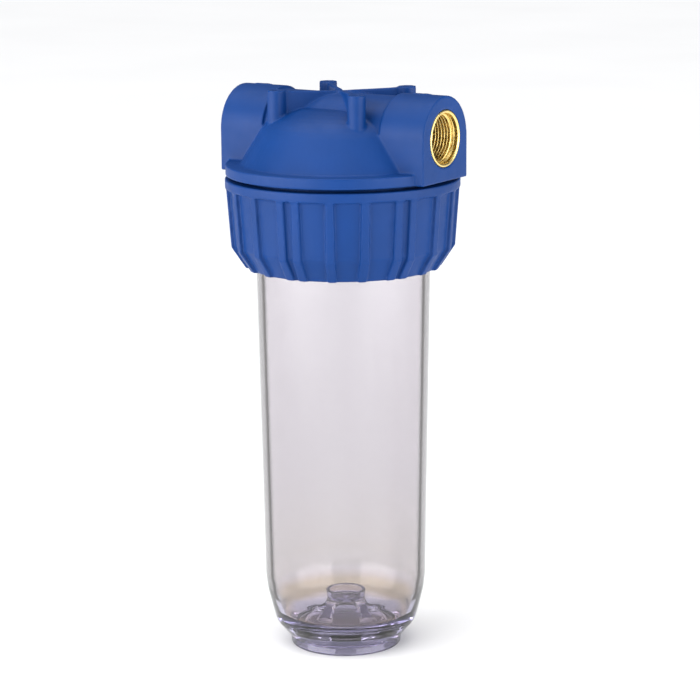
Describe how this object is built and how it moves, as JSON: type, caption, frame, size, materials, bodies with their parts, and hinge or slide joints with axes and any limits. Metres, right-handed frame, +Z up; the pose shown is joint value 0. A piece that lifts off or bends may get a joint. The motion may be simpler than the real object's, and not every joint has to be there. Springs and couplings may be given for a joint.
{
  "type": "cartridge filter housing",
  "caption": "In-line water filter housing: head with two threaded ports and bracket posts, a ribbed ring nut and a clear bowl for a ten inch cartridge.",
  "frame": {"origin": "centre of the foot ring, on the surface that the housing stands on", "axes": "+Z up along the bowl's axis, +X out of the outlet port; the inlet port faces -X"},
  "size_m": [0.1274, 0.1256, 0.3058],
  "materials": {
    "blue_plastic": "satin moulded polypropylene",
    "nut_plastic": "satin moulded polypropylene",
    "clear_plastic": "clear moulded styrene acrylonitrile",
    "brass": "turned",
    "seal_rubber": "matte"
  },
  "bodies": {
    "head": {"head": "blue_plastic", "inlet_insert": "brass", "outlet_insert": "brass", "inlet_insert_o_ring": "seal_rubber", "outlet_insert_o_ring": "seal_rubber"},
    "bowl": {"bowl": "clear_plastic", "bowl_o_ring": "seal_rubber"},
    "nut": {"ring_nut": "nut_plastic"}
  },
  "joints": [
    {"name": "bowl_drop", "type": "slide", "parent": "head", "child": "bowl", "axis": [0, 0, -1], "range_m": [0, 0.018]},
    {"name": "nut_turn", "type": "hinge", "parent": "bowl", "child": "nut", "pos_m": [0, 0, 0.2346], "axis": [0, 0, -1], "range_deg": [0, 1080]}
  ],
  "couplings": [
    {"joint": "bowl_drop", "follows": "nut_turn", "m_per_rad": 0.00095493}
  ]
}
